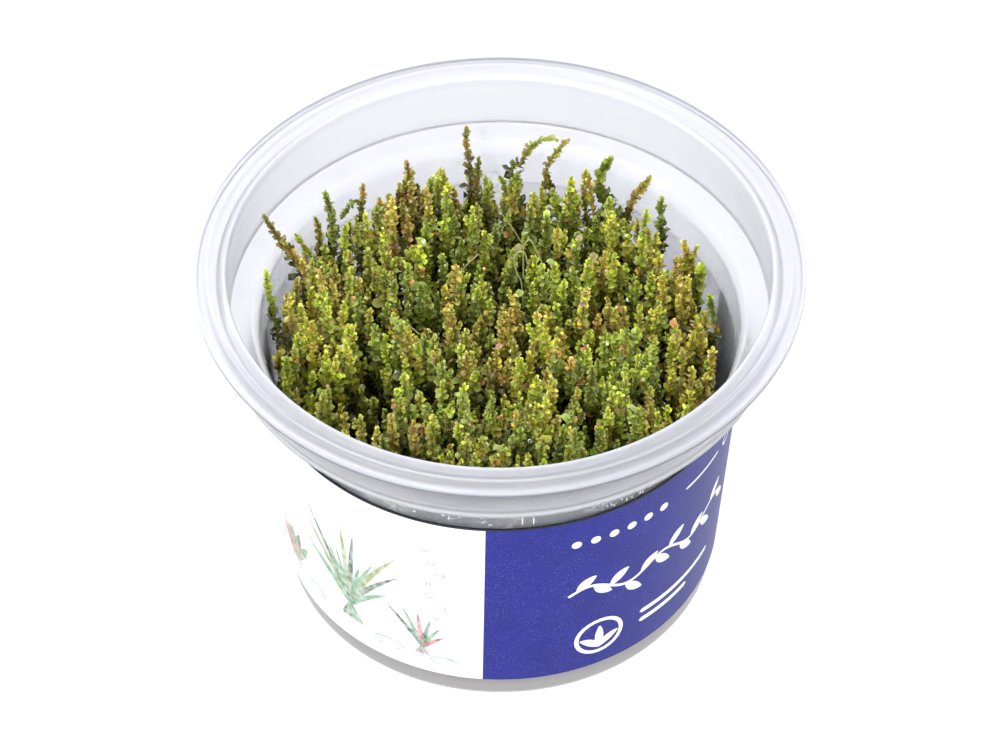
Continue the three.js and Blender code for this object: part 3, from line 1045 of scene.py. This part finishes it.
def relief(place):
    """How much higher or lower than its plan the canopy stands at a place: in swells, and by RELIEF."""
    waves = [math.sin(pace * at + start) for at, (pace, start) in zip(place, (SWELL_X, SWELL_Y))]
    change = SWELL * waves[0] * waves[1]
    for x, y, reach, height in RELIEF:
        far = math.hypot(place[0] - x, place[1] - y) / reach
        change += height * math.exp(-(far**4))
    return change


def plan_side_shoots(shoot):
    """Lower shoots beside a main one: twins close by and others that fill the clump between the columns."""
    sides = []
    start = rng.uniform(0, 2 * math.pi)
    for k in range(TWINS + SIDE_SHOOTS):
        reach, drop = (TWIN_REACH, TWIN_DROP) if k < TWINS else (SIDE_REACH, SIDE_DROP)
        turn = start + GOLDEN_ANGLE * k + rng.uniform(-SIDE_TURN, SIDE_TURN)
        place = inside_clump(shoot["place"] + polar(rng.uniform(*reach), turn))
        height = min(shoot["tip"][2], SIDE_CEILING) - rng.uniform(*drop)
        sway = rng.normal(0, SIDE_SWAY, 2)
        tip = np.array([*inside_clump(place + sway), height])
        sides.append({"root": shoot["root"], "place": place, "tip": tip})
    return sides


def through(places, count):
    """A smooth line of count points through places, as a spline that passes each."""
    places = np.asarray(places, float)
    padded = np.concatenate([2 * places[:1] - places[1:2], places, 2 * places[-1:] - places[-2:-1]])
    at = np.linspace(0, len(places) - 1, count)
    step = np.minimum(at.astype(int), len(places) - 2)
    t = (at - step)[:, None]
    a, b, c, d = (padded[step + k] for k in range(4))
    return b + t / 2 * (c - a + t * (2 * a - 5 * b + 4 * c - d + t * (3 * (b - c) + d - a)))


def stem_line(shoot, roots, steps=15):
    """Points up a shoot's stem, from inside the gel to the tip, with a slight waver."""
    base = GEL_TOP + GEL_CLEARANCE
    start = roots[shoot["root"]]
    foot = np.array([[*start, GEL_TOP - 5]])
    share = np.linspace(0, 1, steps)[:, None]
    fork = np.minimum(1, share / FORK_SHARE)
    fork = fork * fork * (3 - 2 * fork)
    late = np.maximum(0, (share - FORK_SHARE) / (1 - FORK_SHARE)) ** 2
    place = start + (shoot["place"] - start) * fork
    xy = place + (shoot["tip"][:2] - place) * late
    phase = rng.uniform(0, 2 * math.pi, 2)
    waver = WAVER * np.sin(share * rng.uniform(*WAVER_PACE) + phase) * np.sin(math.pi * share)
    z = base + (shoot["tip"][2] - base) * share
    return np.concatenate([foot, np.concatenate([xy + waver, z], axis=1)])


def riser_line(shoot, roots, back, places, steps=34):
    """Points up a stem that rises out of the clump, from inside the gel through its own places."""
    base = GEL_TOP + GEL_CLEARANCE
    start = roots[shoot["root"]]
    fork = [*shoot["place"], base + FORK_SHARE * (places[0][1] - base)]
    line = [[*start, GEL_TOP - 5], [*start, base], fork]
    return through(line + [[x, back, z] for x, z in places], steps)


# Leaves and stems


def leaf_template(rim):
    """One round leaf with a lens section. Each point is its share along, its share across, and 1 above,
    0 on the rim or -1 below."""
    points = []
    faces = []
    for k in range(rim):
        turn = 2 * math.pi * (k + 0.5) / rim
        along = 0.5 - 0.5 * math.cos(turn)
        points.append((along, math.sin(turn) * (0.75 + 0.45 * along), 0))
        after = (k + 1) % rim
        faces.append((k, after, rim))
        faces.append((after, k, rim + 1))
    points += [(0.5, 0, 1), (0.5, 0, -1)]
    return np.array(points), np.array(faces)


# Large leaves have rounder rims, and the hidden ones further down have plainer rims
ROUND_LEAF = leaf_template(10)
FINE_LEAF = leaf_template(6)
PLAIN_LEAF = leaf_template(5)
FINE_DEPTH = 8


class Growth(Batch):
    """Stems and leaves, such as those of one plantlet."""

    def stem(self, line, radii, tint, sides=4, across=(0.3, 0.95, 0)):
        """A closed tube along a line. It may run any way but along the direction across."""
        axis = unit(np.gradient(line, axis=0))
        u = unit(np.cross(axis, across))
        v = np.cross(axis, u)
        turns = 2 * math.pi * np.arange(sides) / sides
        ring = u[:, None] * np.cos(turns)[:, None] + v[:, None] * np.sin(turns)[:, None]
        points = (line[:, None] + ring * np.asarray(radii)[:, None, None]).reshape(-1, 3)
        walls = ring_quads(len(line), sides)[:, [0, 1, 2, 0, 2, 3]].reshape(-1, 3)
        last = len(points) - sides
        start = [(0, side + 1, side) for side in range(1, sides - 1)]
        end = [(last, last + side, last + side + 1) for side in range(1, sides - 1)]
        self.add(points, np.concatenate([walls, start, end]), tint)

    def leaves(self, template, rows):
        """Many leaves at once, from arrays that each have a row or value for every leaf. rise is the angle
        above square to the stem, roll tips the blade to one side, curl bends it back, cup lifts its edges,
        crumple waves its rim and rim_highlight pales the rim as a painted highlight."""
        base, axis, out, length, half_width, rise, roll, curl, cup, crumple, tint, rim_highlight = rows
        shape, shape_faces = template
        direction = out * np.cos(rise)[:, None] + axis * np.sin(rise)[:, None]
        flat = axis * np.cos(rise)[:, None] - out * np.sin(rise)[:, None]
        level = np.cross(direction, flat)
        side = level * np.cos(roll)[:, None] + flat * np.sin(roll)[:, None]
        upper = flat * np.cos(roll)[:, None] - level * np.sin(roll)[:, None]
        along, across, above = shape.T
        reach = length[:, None] * along
        wide = half_width[:, None] * across
        wave = np.cos(np.arange(len(shape)) * 2.4 + 40 * crumple[:, None]) * (above == 0)
        lift = cup[:, None] * across**2 - curl[:, None] * along**2 + crumple[:, None] * wave
        lift = length[:, None] * lift + above * LEAF_THICKNESS / 2
        points = base[:, None] + direction[:, None] * reach[:, :, None]
        points = points + side[:, None] * wide[:, :, None] + upper[:, None] * lift[:, :, None]
        faces = shape_faces[None] + len(shape) * np.arange(len(base))[:, None, None]
        # Painted light: each leaf is darker at its base and lighter towards its tip, as painted shade by the
        # stem and light shining through it, and its rim is paled as a painted highlight
        pale = np.where(above == 0, rim_highlight[:, None] * (0.4 + 0.6 * along), 0)[:, :, None]
        tints = tint[:, None] * (0.66 + 0.46 * along)[None, :, None] * (1 - pale) + linear(*RIM_HIGHLIGHT_COLOUR) * pale
        self.add(points.reshape(-1, 3), faces.reshape(-1, 3), tints.reshape(-1, 3))

    def piece(self, name, slot, material, *nodes):
        made = self.mesh(name)
        made.data.set_sharp_from_angle(angle=RIM_ANGLE)
        return finish_piece(made, [material], nodes)


# Colours of the shoots on screen: young leaf, grown leaf and old leaf. The old leaf's darkness is partly its
# age and partly painted shade.
KINDS = {
    "lime": [(192, 200, 78), (164, 174, 46), (92, 106, 20)],
    "green": [(168, 182, 70), (128, 144, 38), (62, 78, 16)],
    "deep": [(136, 156, 70), (90, 110, 32), (46, 60, 14)],
    "olive": [(176, 174, 86), (148, 144, 50), (82, 84, 22)],
    "gold": [(202, 194, 94), (180, 164, 58), (118, 106, 28)],
    "bronze": [(178, 162, 92), (160, 130, 68), (104, 84, 34)],
    "umber": [(126, 130, 60), (116, 94, 50), (84, 62, 34)],
    "dusk": [(124, 132, 62), (96, 98, 44), (60, 58, 24)],
}
KIND_NAMES = list(KINDS)
KIND_SHARES = [0.22, 0.26, 0.14, 0.18, 0.09, 0.07, 0.02, 0.02]
MIXES = {
    "lime": ["green", "gold"],
    "green": ["lime", "deep"],
    "deep": ["green", "olive"],
    "olive": ["green", "bronze"],
    "gold": ["lime", "bronze"],
    "bronze": ["olive", "gold"],
    "umber": ["bronze", "dusk"],
    "dusk": ["olive", "deep"],
}

# A shoot's second kind comes in stretches: how long they are, its mean share of the mix, how far that swings
# along the shoot and how it varies from leaf to leaf
STRETCH_RANGE = (5, 13)
MIX_MEAN = 0.3
MIX_SWING = 0.8
MIX_SPREAD = 0.3

# Colours of blushed leaves: brown, orange, pink, rose and purple, how many leaves have them and how many
# shoots have a cluster of them, with a cluster's depth, reach and density
BLUSHES = [(150, 88, 54), (206, 146, 66), (208, 128, 116), (196, 96, 92), (140, 96, 108)]
BLUSH_SHARE = 0.045
BLUSH_CLUSTERS = 0.16
CLUSTER_DEPTH = (0.5, 9)
CLUSTER_REACH = 0.9
CLUSTER_DENSITY = 0.75

# Parts of the clump where one kind rules, as often as PATCH_RULE says: x, y, radius and kind
PATCH_RULE = 0.75
KIND_PATCHES = [
    (22, -8, 7, "green"),
    (-1, -22, 7, "deep"),
    (14, -28, 9, "deep"),
    (-13, -12, 7, "deep"),
    (-16, 8, 7, "deep"),
    (2, 18, 7, "deep"),
    (10, 12, 6, "green"),
    (-8, 21, 7, "green"),
    (-24, 14, 6, "olive"),
    (-4, 0, 6, "olive"),
    (-10, 3, 5, "bronze"),
    (1, -2, 3, "bronze"),
    (17, 5, 4, "bronze"),
    (32, 8, 6, "gold"),
    (32, -4, 7, "gold"),
    (33, -13, 5, "lime"),
    (28, 20, 5, "lime"),
    (-33, 2, 6, "gold"),
    (-28, -6, 6, "lime"),
    (-30, -16, 6, "olive"),
    (-26, -26, 4, "bronze"),
    (7, -18, 4, "gold"),
    (8, -6, 3.5, "gold"),
    (-16, 26, 5, "bronze"),
    (-34, 13, 4, "bronze"),
    (-6, 30, 5, "olive"),
]


def choose_kinds(tip):
    """The kind that rules where a shoot stands, or one by chance, and the kind that mixes with it."""
    kind = KIND_NAMES[rng.choice(len(KIND_NAMES), p=KIND_SHARES)]
    for x, y, radius, ruling in KIND_PATCHES:
        if math.hypot(tip[0] - x, tip[1] - y) < radius and rng.random() < PATCH_RULE:
            kind = ruling
    return kind, MIXES[kind][rng.integers(2)]


def kind_tints(kind, depth):
    """One kind's leaf colours by depth below the tip: young, grown by 3 mm down and old by 15 mm down.
    The old colour is darker, partly for age and partly as painted shade low in the clump.
    """
    young, grown, old = KINDS[kind]
    ageing = np.clip(depth / 3, 0, 1)[:, None]
    old_and_shaded = np.clip((depth - 4) / 11, 0, 1)[:, None]
    tint = linear(*young) * (1 - ageing) + linear(*grown) * ageing
    return tint * (1 - old_and_shaded) + linear(*old) * old_and_shaded


def leaf_tints(kinds, depth, sunk):
    """Leaf colours in stretches of two kinds, with a few blushed leaves and now and then a cluster of them.
    Leaves are painted darker further down a shoot and on shoots that stand sunk in a hollow, as painted
    shade."""
    count = len(depth)
    wave = np.sin(2 * math.pi * depth / rng.uniform(*STRETCH_RANGE) + rng.uniform(0, 2 * math.pi))
    mix = np.clip(MIX_MEAN + MIX_SWING * wave + rng.normal(0, MIX_SPREAD, count), 0, 1)[:, None]
    tint = kind_tints(kinds[0], depth) * (1 - mix) + kind_tints(kinds[1], depth) * mix
    flushed = rng.random(count) < BLUSH_SHARE
    if rng.random() < BLUSH_CLUSTERS:
        clustered = np.abs(depth - rng.uniform(*CLUSTER_DEPTH)) < CLUSTER_REACH
        flushed |= clustered & (rng.random(count) < CLUSTER_DENSITY)
    blush = np.array([linear(*colour) for colour in BLUSHES])[rng.integers(len(BLUSHES), size=count)]
    tint = np.where(flushed[:, None], 0.3 * tint + 0.7 * blush, tint)
    lightness = np.clip(np.exp(rng.normal(0, LIGHTNESS_SPREAD, (count, 1))), *LIGHTNESS_RANGE)
    # Painted shade: leaves darken further down a shoot and where the shoot stands sunk in a hollow
    shade = np.clip((depth + sunk - SHADE_FROM) / SHADE_OVER, 0, 1)
    lightness = lightness * (1 - DEEP_SHADE * shade[:, None])
    return tint * LEAF_LIGHTNESS * lightness * rng.uniform(*HUE_RANGE, (count, 3))


def place_nodes(line, gaps):
    """Leaf nodes from the tip down: each one's place, the stem's direction there and its depth."""
    lengths = np.linalg.norm(np.diff(line, axis=0), axis=1)
    from_tip = np.concatenate([[0], np.cumsum(lengths[::-1])])
    downward = line[::-1]
    depths = []
    depth = FIRST_NODE
    while depth < from_tip[-1]:
        depths.append(depth)
        gap = NODE_GAP_TIP + NODE_GAP_RISE * depth + NODE_GAP_BEND * depth**2
        depth += gaps * min(NODE_GAP_MOST, gap) * rng.uniform(*NODE_GAP_RANGE)
    depths = np.array(depths)
    places = np.stack([np.interp(depths, from_tip, downward[:, k]) for k in range(3)], axis=1)
    axis = np.gradient(downward, axis=0)
    axis = unit(-np.stack([np.interp(depths, from_tip, axis[:, k]) for k in range(3)], axis=1))
    kept = places[:, 2] > LEAFY_FROM
    return places[kept], axis[kept], depths[kept]


def grow_leaves(growth, line, kinds, scale=1.0, gaps=1.0, open_by=OPEN_BY, sunk=0.0):
    """Pairs of leaves up a stem, each pair square to the next. scale and gaps make the leaves and the gaps
    between pairs larger or smaller, open_by is how far the leaves open below the tip, and sunk is how far
    the shoot stands below the canopy."""
    places, axis, depth = place_nodes(line, gaps)
    count = len(places)
    helper = unit(np.cross(axis, (0, 1, 0)))
    other = np.cross(axis, helper)
    turn = rng.uniform(0, 2 * math.pi) + math.pi / 2 * np.arange(count) + rng.normal(0, NODE_TWIST, count)
    rows = []
    for half_turn in (0, math.pi):
        angle = turn + half_turn + rng.normal(0, LEAF_TWIST, count)
        out = helper * np.cos(angle)[:, None] + other * np.sin(angle)[:, None]
        rows.append((places + axis * rng.normal(0, NODE_SHIFT, (count, 1)), axis, out, depth))
    base, axis, out, depth = (np.concatenate(parts) for parts in zip(*rows))
    total = len(base)
    grown = 1 - np.exp(-depth / LEAF_GROWTH)
    old = np.clip((depth - OLD_FROM) / OLD_OVER, 0, 1)
    length = TIP_LEAF_LENGTH + (LEAF_LENGTH - TIP_LEAF_LENGTH) * grown
    length = (length + (OLD_LEAF_LENGTH - LEAF_LENGTH) * old) * scale * rng.uniform(*LENGTH_RANGE, total)
    large = rng.random(total) < LARGE_SHARE
    length = np.where(large, length * LARGE_LENGTH, length)
    rise = np.radians(TIP_RISE - open_by * grown + rng.normal(0, RISE_SPREAD, total))
    roll = rng.normal(0, ROLL_SPREAD, total)
    curl = np.clip(rng.normal(CURL_MEAN, CURL_SPREAD, total), *CURL_RANGE)
    cup = rng.uniform(*CUP_RANGE, total)
    crumple = rng.uniform(*CRUMPLE_RANGE, total)
    half_width = length * LEAF_HALF_WIDTH * np.where(large, LARGE_WIDTH, rng.uniform(*WIDTH_RANGE, total))
    tint = leaf_tints(kinds, depth, sunk)
    near = depth < FINE_DEPTH
    # Painted highlights on the rims of the leaves near the tip
    rim_highlight = np.where(near, rng.uniform(*RIM_HIGHLIGHT_RANGE, total), 0)
    tip = base + out * (length * np.cos(rise))[:, None]
    wall = np.where(base[:, 2] > SHOULDER_HEIGHT, COLLAR_OUTER_FOOT - WALL, bore_radius(base[:, 2]))
    free = np.hypot(tip[:, 0], tip[:, 1]) < wall - WALL_CLEARANCE
    rows = (base, axis, out, length, half_width, rise, roll, curl, cup, crumple, tint, rim_highlight)
    for template, chosen in ((ROUND_LEAF, large), (FINE_LEAF, near & ~large), (PLAIN_LEAF, ~near & ~large)):
        growth.leaves(template, [row[free & chosen] for row in rows])


def grow_sprigs(growth, line, kinds):
    """Short leafy side sprigs that bush out the upper part of a shoot."""
    steps = np.linalg.norm(np.diff(line, axis=0), axis=1)
    from_tip = np.cumsum(steps[::-1])[::-1]
    for _ in range(rng.integers(1, 3)):
        foot = int(np.argmin(np.abs(from_tip - rng.uniform(*SPRIG_DEPTH))))
        turn = rng.uniform(0, 2 * math.pi)
        length = rng.uniform(*SPRIG_LENGTH)
        out = np.array([*polar(1, turn), 0])
        t = np.linspace(0, 1, 6)[:, None]
        rising = np.array([0, 0, 1]) * (0.35 * t + 0.55 * t**2)
        sprig = line[foot] + length * (out * (0.62 * t - 0.2 * t**2) + rising)
        if np.hypot(*sprig[-1, :2]) > bore_radius(sprig[-1, 2]) - SPRIG_CLEARANCE:
            continue
        growth.stem(sprig, np.linspace(*SPRIG_RADII, 6), linear(*KINDS[kinds[1]][1]))
        grow_leaves(growth, sprig, kinds[::-1], SPRIG_LEAVES)


def grow_stem(growth, line, kind):
    radii = np.linspace(STEM_FOOT_RADIUS, STEM_TIP_RADIUS, len(line))
    growth.stem(line, radii, 0.75 * linear(*KINDS[kind][1]) + 0.25 * linear(*BLUSHES[0]))


def grow_shoot(growth, shoot, roots):
    kinds = choose_kinds(shoot["tip"])
    line = stem_line(shoot, roots)
    grow_stem(growth, line, kinds[0])
    grow_leaves(growth, line, kinds, sunk=shoot["sunk"])
    if rng.random() < SPRIG_SHARE:
        grow_sprigs(growth, line, kinds)


def grow_risers(growth, shoot, roots):
    """The stems that rise out of the clump, with close leaves pressed to them."""
    for back, places, kind, scale in shoot["risers"]:
        line = riser_line(shoot, roots, back, places)
        grow_stem(growth, line, kind)
        kinds = (kind, MIXES[kind][rng.integers(2)])
        grow_leaves(growth, line, kinds, scale, RISER_GAPS, RISER_OPEN_BY)


def grow_bare_stem(growth, back, places, thickness, colour):
    line = through([[x, back, z] for x, z in places], 4 * len(places))
    growth.stem(line, np.full(len(line), thickness / 2), linear(*colour), sides=6, across=(0, 1, 0))


def grow_accent(growth, tip, length, colour):
    """One leaf that stands out, beside a shoot's tip."""
    turn = rng.uniform(0, 2 * math.pi)
    base = tip + np.array([0, 0, -0.2])
    out = np.array([*polar(1, turn), 0])
    # Length, half width, rise, roll, curl, cup and crumple
    shape = [length, 0.38 * length, 0.45, rng.normal(0, 0.2), 0.15, 0.2, 0.1]
    # The last row is the painted highlight on the leaf's rim
    rows = [base, (0, 0, 1), out, *shape, linear(*colour), 0.25]
    growth.leaves(ROUND_LEAF, [np.array([row], float) for row in rows])


def make_plantlets():
    material = leaf_finish()
    roots = [sunflower(i, ROOT_COUNT, ROOT_SPREAD) for i in range(ROOT_COUNT)]
    shoots = plan_shoots(roots)
    edge_shoots = plan_edge_shoots(roots)
    growths = [Growth() for _ in range(ROOT_COUNT)]
    tips = []
    for shoot in shoots:
        growth = growths[shoot["root"]]
        grow_risers(growth, shoot, roots)
        parts = plan_side_shoots(shoot)
        if not shoot["risers"]:
            parts.append(shoot)
        for part in parts:
            change = relief(part["tip"])
            part["tip"][2] += change
            part["sunk"] = max(0, -change)
            if change > HOLLOW:
                grow_shoot(growth, part, roots)
        tips.append(parts[-1]["tip"])
    for shoot in edge_shoots:
        grow_shoot(growths[shoot["root"]], shoot, roots)
    for x, y, length, colour in ACCENTS:
        near = nearest((x, y), tips)
        grow_accent(growths[shoots[near]["root"]], tips[near], length, colour)
    for back, places, thickness, colour in BARE_STEMS:
        growth = growths[nearest((places[0][0], back), roots)]
        grow_bare_stem(growth, back, places, thickness, colour)
    for i, growth in enumerate(growths):
        number = f"{i + 1:02d}"
        growth.piece("rotala_" + number, "plant", material, "plantlet_" + number)


# The stage: camera, lights and floor


def make_camera():
    data = bpy.data.cameras.new("camera")
    data.lens = CAMERA_LENS
    data.sensor_width = CAMERA_SENSOR
    camera = bpy.data.objects.new("camera", data)
    turn = Matrix.Rotation(CAMERA_PITCH, 4, "X") @ Matrix.Rotation(CAMERA_ROLL, 4, "Z")
    camera.matrix_world = Matrix.Translation([value * MM for value in CAMERA_PLACE]) @ turn
    bpy.context.scene.collection.objects.link(camera)
    bpy.context.scene.camera = camera


def make_light(name, place, size, energy, colour=(1, 1, 1)):
    """A soft square light that looks at the cup. The place and size are in millimetres."""
    data = bpy.data.lights.new(name, "AREA")
    data.size = size * MM
    data.energy = energy
    data.color = colour
    light = bpy.data.objects.new(name, data)
    light.location = Vector(place) * MM
    aim = Vector((0, 0, 40)) * MM - light.location
    light.rotation_euler = aim.to_track_quat("-Z", "Y").to_euler()
    bpy.context.scene.collection.objects.link(light)


def make_stage():
    half = 1500
    corners = np.array([(-half, -half, 0), (half, -half, 0), (half, half, 0), (-half, half, 0)], float)
    floor = mesh_object("floor", corners, np.array([[0, 1, 2, 3]]), smooth=False)
    finish = Finish("pale_floor", Roughness=0.9, Emission_Color=(1, 1, 1), Emission_Strength=0.9)
    finish.base(finish.noise(60), linear(118, 118, 118), linear(122, 122, 122))
    floor.data.materials.append(finish.material)
    world = bpy.data.worlds.new("studio")
    world.use_nodes = True
    background = world.node_tree.nodes["Background"]
    background.inputs["Color"].default_value = (1, 1, 1, 1)
    background.inputs["Strength"].default_value = 0.97
    bpy.context.scene.world = world
    bpy.context.scene.view_settings.view_transform = "Standard"
    make_light("overhead", (-120, 160, 620), 160, 1.1)
    make_light("front_left", (-180, -460, 420), 160, 2.3, (0.86, 0.92, 1))


make_camera()
make_stage()
make_cup()
make_gel()
make_drops("wall_droplets", DROP_PATCHES, water())
foam_and_glints = foam()
make_drops("wall_foam", FOAM_PATCHES, foam_and_glints)
make_bubble_glints(foam_and_glints)
make_label()
make_marks()
make_picture()
make_plantlets()
